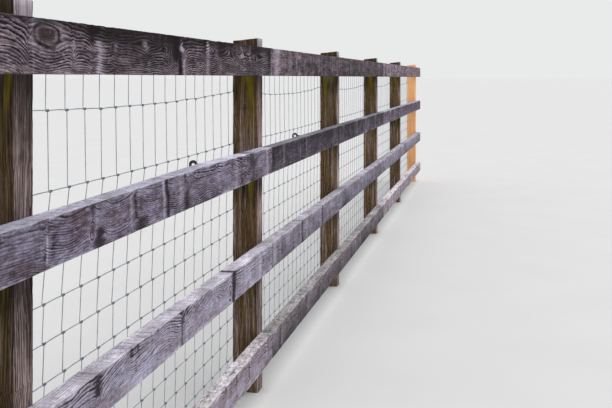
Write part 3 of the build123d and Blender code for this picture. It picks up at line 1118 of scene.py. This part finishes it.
class Net:
    """Places of the netting's crossings, and how far its wires bow up between them."""

    def __init__(self):
        rng = np.random.default_rng(5)
        self.levels = wire_levels()
        count = len(self.levels)
        size = (count, STAY_COUNT)
        self.slack = np.arange(count) >= count - SLACK_WIRES
        straight = FIRST_STAY + STAY_STEP * np.arange(STAY_COUNT)
        self.on_post = np.abs((straight + BAY / 2) % BAY - BAY / 2) < STAY_STEP / 2
        free = 1 - self.on_post
        wander = np.array(STAY_WANDER)[:, None] * MM * free
        self.x = straight + (wander + rng.uniform(-2.2, 2.2, size) * MM * free)
        kinks = rng.uniform(-1, 0.4, size) * np.where(self.slack, 2.2, 0.8)[:, None] * MM * free
        kinks[0] = np.abs(kinks[0])
        self.z = np.array([[self.height(order, x) for x in straight] for order in range(count)]) + kinks
        self.y = WIRE_Y + POST_BULGE * self.on_post
        self.bow = np.where(self.slack, SLACK_BOW, FIRM_BOW)
        self.bow[0] = 0

    def height(self, order, x):
        """Height of a line wire, which hangs in each bay where it is slack."""
        share = (x / BAY) % 1
        if not self.slack[order]:
            return self.levels[order] - 4 * FIRM_SAGS[order] * MM * share * (1 - share)
        bay = math.floor(x / BAY)
        left = LOW_STAPLE_DROP * (bay == LOW_STAPLE_POST - 1)
        right = LOW_STAPLE_DROP * (bay == LOW_STAPLE_POST - 2)
        sag = WIRE_SAG - 0.6 * (left + right)
        return self.levels[order] - left * (1 - share) - right * share - 4 * sag * share * (1 - share)


def wire_path(net, order):
    """Path of a line wire through its crossings, bowed a little between them."""
    crossings = list(zip(net.x[order], net.y, net.z[order], net.on_post))
    path = [(NET_LOW.x + WIRE_END_GAP, WIRE_Y, net.levels[order])]
    for (x, y, z, on_post), (next_x, _, next_z, next_on_post) in zip(crossings, crossings[1:]):
        path.append((x, y, z))
        clear = 0.3 if on_post or next_on_post else 1
        for share, rise in BOW_SHAPE:
            level = z * (1 - share) + next_z * share
            path.append((x + (next_x - x) * share, WIRE_Y, level + clear * rise * net.bow[order]))
    path.append(crossings[-1][:3])
    path.append((NET_HIGH.x - WIRE_END_GAP, WIRE_Y, net.levels[order]))
    return np.array(path)


def make_line_wires(net):
    """Every line wire, as one piece."""
    wires = Parts()
    for order in range(len(net.levels)):
        wires.tube(wire_path(net, order), LINE_RADIUS, 5, (0, 0, 1))
    wires.build("line_wires_round", WIRE, SLOTS["line_wires"], "line_wires")


def coil(net, order, index, side, steps):
    """Turns of a stay's end round a line wire, from the stay inwards to the knot's middle."""
    turn = np.linspace(0, 2 * math.pi * COIL_TURNS, steps) * side
    x = net.x[order, index] + side * np.linspace(COIL_REACH, COIL_INNER, steps)
    y = net.y[index] + COIL_RADIUS * np.cos(turn)
    z = net.z[order, index] + COIL_RADIUS * np.sin(turn)
    return np.stack([x, y, z], -1)


def make_stays(net):
    """Stays in short lengths that hang from wire to wire, with both ends wound round the wires."""
    for bay in range(1, POST_COUNT):
        stays = Parts()
        steps, sides = (11, 5) if bay <= NEAR_BAYS else (7, 4)
        first = (bay - 1) * STAYS_PER_BAY
        last = first + STAYS_PER_BAY + (1 if bay == POST_COUNT - 1 else 0)
        for index in range(first, last):
            for order in range(len(net.levels) - 1):
                below = coil(net, order, index, -1, steps)[::-1]
                above = coil(net, order + 1, index, 1, steps)
                # Coil points carry painted shade, the straight run between the coils does not
                coil_shade = np.ones(2 * steps)
                coil_shade[steps - 1 : steps + 1] = 0
                stays.tube(np.concatenate([below, above]), STAY_RADIUS, sides, (1, 0, 0), coil_shade)
        stays.build(f"netting_stays_{bay}_wound", WIRE, SLOTS["line_wires"], f"netting_stays_{bay}")


def make_staples(net):
    """Staples that hold the line wires to the backs of the posts, a little askew."""
    rng = np.random.default_rng(17)
    staples = Parts()
    for middle in POST_MIDDLES:
        for order in range(len(net.levels)):
            place = middle + rng.uniform(12, 22) * MM
            lean = rng.uniform(-0.35, 0.35)
            across = rng.uniform(4.6, 5.6) * MM * STAPLE_ACROSS
            if rng.random() < STAPLE_MISSING:
                continue
            height = net.height(order, middle) + across * math.cos(lean)
            path = np.stack([place + across * math.sin(lean), POST_BACK + STAPLE_OUT, height], -1)
            staples.tube(path, STAPLE_RADIUS, 6, (1, 0, 0))
    staples.build("wire_staples", STEEL, SLOTS["insulator_shank_3"])


def turned(profile, place, sides):
    """Rows of points round a line towards the netting, from pairs of distance along it and radius."""
    angles = spokes(sides)
    ring = np.stack([np.cos(angles), np.zeros(sides), -np.sin(angles)], -1)
    along, radius = np.array(profile).T[..., None, None]
    return np.array(place) + along * np.array((0, 1, 0)) + radius * ring


def make_nails():
    """Round nail heads in the rails, sunk in the weathered wood."""
    heads = Parts()
    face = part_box("top_rail_1")[0].y
    profile = np.array(NAIL_PROFILE) * MM
    for x, z in NAIL_PLACES:
        heads.grid(turned(profile, (x, face, z), 12))
    heads.build("nail_heads", NAIL_STEEL, SLOTS["insulator_shank_3"])


# Insulators, at the places and with the main sizes of their CAD solids. Profiles are pairs of
# distance along and radius, in millimetres
RING_RADIUS = 18.5 * MM
RING_WALL = 11.5 * MM
RING_WIDTH = 10 * MM
RING_POINTS = 28
RING_STEPS = 97
RING_SQUARENESS = 0.62
SEAM_HALF = 0.9 * MM
SEAM_RISE = 0.25 * MM
SLIT_SLOPE = -math.tan(math.radians(35))
SLIT_HALF = 1.83 * MM
LIP_REACH = 0.004
LIP_ROUNDING = 0.16
BOSS_SIDES = 36
BOSS_PROFILE = ((0, 3.3), (0.1, 5.4), (0.6, 5.95), (1.8, 5.9), (2.2, 5.3), (7.2, 4.7), (9, 4.8), (10.2, 5.6))
BOSS_NECK = slice(4, 7)
BOSS_RIB = 0.5 * MM
BOSS_SUNK = 2.6 * MM
BOSS_FOOT = 6.2 * MM
ROD_RADIUS = 3 * MM
ROD_SIDES = 16
ROD_BARE = 0.12 * MM
THREAD_PITCH = 2.4 * MM
THREAD_DEPTH = 0.55 * MM
THREAD_HIDDEN = 8 * MM
THREAD_SHOWN = 30 * MM
COLLAR_PROFILE = ((0, 2.8), (0.1, 3.6), (0.5, 4), (1.3, 4), (1.7, 3.6), (1.8, 2.8))
COLLAR_PLACES = (33 * MM, 36.5 * MM)


def squared(wave):
    """Sine or cosine pushed out towards the corners of a square."""
    return np.sign(wave) * np.abs(wave) ** RING_SQUARENESS


def slit_ring(centre):
    """Rows round a ring from one lip of its slanted slit to the other, with a parting line outside."""
    angles = 2 * np.pi * (np.arange(RING_POINTS) + 0.5) / RING_POINTS
    across = RING_WIDTH / 2 * squared(np.cos(angles))
    outward = RING_WALL / 2 * squared(np.sin(angles))
    seam = (np.abs(across) < SEAM_HALF) & (outward > 0)
    middle = RING_RADIUS - RING_WALL / 2 - SEAM_RISE
    radius = middle + outward + SEAM_RISE * seam
    slit_z = SLIT_SLOPE * across
    start = np.arcsin((slit_z + SLIT_HALF) / radius)
    stop = np.arcsin((slit_z - SLIT_HALF) / radius) + 2 * np.pi
    share = np.linspace(0, 1, RING_STEPS)[:, None]
    turn = start + (stop - start) * share
    swell = 1 - LIP_ROUNDING * (hump(share, LIP_REACH) + hump(share - 1, LIP_REACH))
    radius = middle + (radius - middle) * swell
    return centre + np.stack([across * swell, radius * np.cos(turn), radius * np.sin(turn)], -1)


def ribbed_boss(base, centre):
    """Rows along the boss that takes the shank, with ribs round its neck."""
    profile = [(base + along * MM, radius * MM) for along, radius in BOSS_PROFILE]
    boss = turned([*profile, (BOSS_SUNK - RING_RADIUS, BOSS_FOOT)], centre, BOSS_SIDES) - centre
    ribs = BOSS_RIB * (np.arange(BOSS_SIDES) % 6 < 2)
    neck = boss[BOSS_NECK]
    neck[..., ::2] *= (1 + ribs / np.hypot(neck[..., 0], neck[..., 2]))[..., None]
    return centre + boss


def make_ring(number):
    """Moulded ring of an insulator with its boss."""
    node = f"insulator_ring_{number}"
    low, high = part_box(f"insulator_ring_{number}")
    centre = np.array([(low.x + high.x) / 2, high.y - RING_RADIUS, (low.z + high.z) / 2])
    ring = Parts()
    ring.grid(slit_ring(centre))
    ring.grid(ribbed_boss(low.y - centre[1], centre))
    ring.build(f"{node}_moulded", PLASTIC, SLOTS[node], node)


def make_shank(number):
    """Rod with a wood thread that shows where it enters the post, and two rolled collars."""
    node = f"insulator_shank_{number}"
    low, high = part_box(f"insulator_shank_{number}")
    middle = (low + high) / 2
    thread_end = POST_BACK + THREAD_SHOWN
    places = np.concatenate([
        [low.y],
        np.arange(POST_BACK - THREAD_HIDDEN, thread_end, THREAD_PITCH / 6),
        np.linspace(thread_end, high.y, 12),
    ])[:, None]
    angles = spokes(ROD_SIDES)
    phase = (places / THREAD_PITCH - angles / (2 * np.pi)) % 1
    cut = THREAD_DEPTH * np.abs(2 * phase - 1) ** 1.5
    radius = ROD_RADIUS - np.where(places < thread_end, cut, ROD_BARE)
    along = np.broadcast_to(places, radius.shape)
    rod = Parts()
    rod.grid(np.stack([middle.x + radius * np.cos(angles), along, middle.z + radius * np.sin(angles)], -1))
    for place in COLLAR_PLACES:
        collar = np.array(COLLAR_PROFILE) * MM
        rod.grid(turned(collar, (middle.x, POST_BACK + place, middle.z), 18))
    rod.build(f"{node}_threaded", STEEL, SLOTS[node], node)


def metal(name, low, high, dark, rough, shine):
    """Dull steel with patches of white bloom, and painted shade that darkens the windings."""
    s = Shader(name)
    patches = s.noise(s.place(), (23, 60, 23), 3, 0.6)
    fine = s.noise(s.place(), (420, 420, 420))
    s.colour = s.mix(patches.band(0.35, 0.65), tone(low), tone(high))
    # Painted shade: the windings are darkened as if shadowed by their own turns
    s.lay(s.attribute("coil_shade") * 0.55, tone(dark))
    s.shade(fine.spread(0.75, 1.25))
    return s.finish(s.colour, patches.spread(rough, rough + 0.22), fine, 0.3, 0.15 * MM, metallic=shine)


def black_plastic(name):
    """Glossy black moulded plastic, faintly dusty and scuffed."""
    s = Shader(name)
    dust = s.noise(s.place(), (160, 160, 160), 4, 0.6)
    scuff = s.noise(s.place(), (900, 300, 900), 3, 0.6)
    colour = s.mix(dust.band(0.5, 0.78), tone("0d0e10"), tone("2b2d2e"))
    return s.finish(colour, scuff.spread(0.25, 0.45), scuff, 0.15, 0.1 * MM, 0.4)


# The third colour of each steel is the painted shade laid on the windings
WIRE = metal("galvanised_wire", "8b98a4", "b4bec6", "5b6877", 0.45, 0.25)
STEEL = metal("galvanised_steel", "5d6468", "858d92", "4a5055", 0.42, 0.6)
NAIL_STEEL = metal("nail_steel", "33302f", "57504c", "2a2624", 0.6, 0.3)
PLASTIC = black_plastic("insulator_plastic")

net = Net()
make_line_wires(net)
make_stays(net)
make_staples(net)
make_nails()
for insulator in INSULATOR_POSTS:
    make_ring(insulator)
    make_shank(insulator)


# Stage: near limit of the camera, half the floor's side, the sky's strength, and the lamp's
# energy, the angle it spans and the way towards it
CAMERA_NEAR = 0.05
FLOOR_HALF = 1500
SKY_STRENGTH = 0.75
LAMP_ENERGY = 1.3
LAMP_SPREAD = math.radians(50)
LAMP_WAY = (0.05, -0.45, 1)


def make_camera():
    """Level camera close to the fence, looking along it, with the frame shifted down."""
    data = bpy.data.cameras.new("photo_camera")
    data.sensor_width = SENSOR_WIDTH
    data.lens = FOCAL_PIXELS / PHOTO_WIDTH * SENSOR_WIDTH
    data.shift_y = (HORIZON_ROW - PHOTO_HEIGHT / 2) / PHOTO_WIDTH
    data.clip_start = CAMERA_NEAR
    camera = add_object("photo_camera", data)
    camera.location = CAMERA_PLACE
    aim = Vector((math.cos(CAMERA_TURN), math.sin(CAMERA_TURN), 0))
    camera.rotation_euler = aim.to_track_quat("-Z", "Y").to_euler()
    bpy.context.scene.camera = camera


def make_floor():
    """Plain pale floor under the whole run."""
    corners = [(x * FLOOR_HALF, y * FLOOR_HALF, 0) for x, y in ((-1, -1), (1, -1), (1, 1), (-1, 1))]
    mesh = bpy.data.meshes.new("floor")
    mesh.from_pydata(corners, [], [(0, 1, 2, 3)])
    s = Shader("floor")
    tint = s.mix(s.noise(s.place(), (2, 2, 2), 3), tone("d9d8d6"), tone("e0dfdd"))
    mesh.materials.append(s.finish(tint, 0.9))
    floor = add_object("floor", mesh)


def make_light():
    """Even sky, seen plain and pale, with a broad soft lamp from above and the camera's side."""
    s = Shader("sky", bpy.data.worlds)
    bpy.context.scene.world = s.owner
    sky = s.node("ShaderNodeBackground", {"Color": (0.96, 0.97, 1.0, 1), "Strength": SKY_STRENGTH})
    plain = s.node("ShaderNodeBackground", {"Color": tone("e9eaea")})
    seen = s.node("ShaderNodeLightPath", {}, "Is Camera Ray")
    for ray in ("Is Glossy Ray", "Is Transmission Ray"):
        seen = s.math("MAXIMUM", seen, s.node("ShaderNodeLightPath", {}, ray))
    choice = s.node("ShaderNodeMixShader", {0: seen, 1: sky, 2: plain})
    s.plug(s.tree.nodes["World Output"].inputs["Surface"], choice)
    lamp = bpy.data.lights.new("soft_sun", "SUN")
    lamp.energy = LAMP_ENERGY
    lamp.angle = LAMP_SPREAD
    sun = add_object("soft_sun", lamp)
    sun.rotation_euler = Vector(LAMP_WAY).to_track_quat("Z", "Y").to_euler()


make_camera()
make_floor()
make_light()
bpy.context.scene.view_settings.view_transform = "Standard"
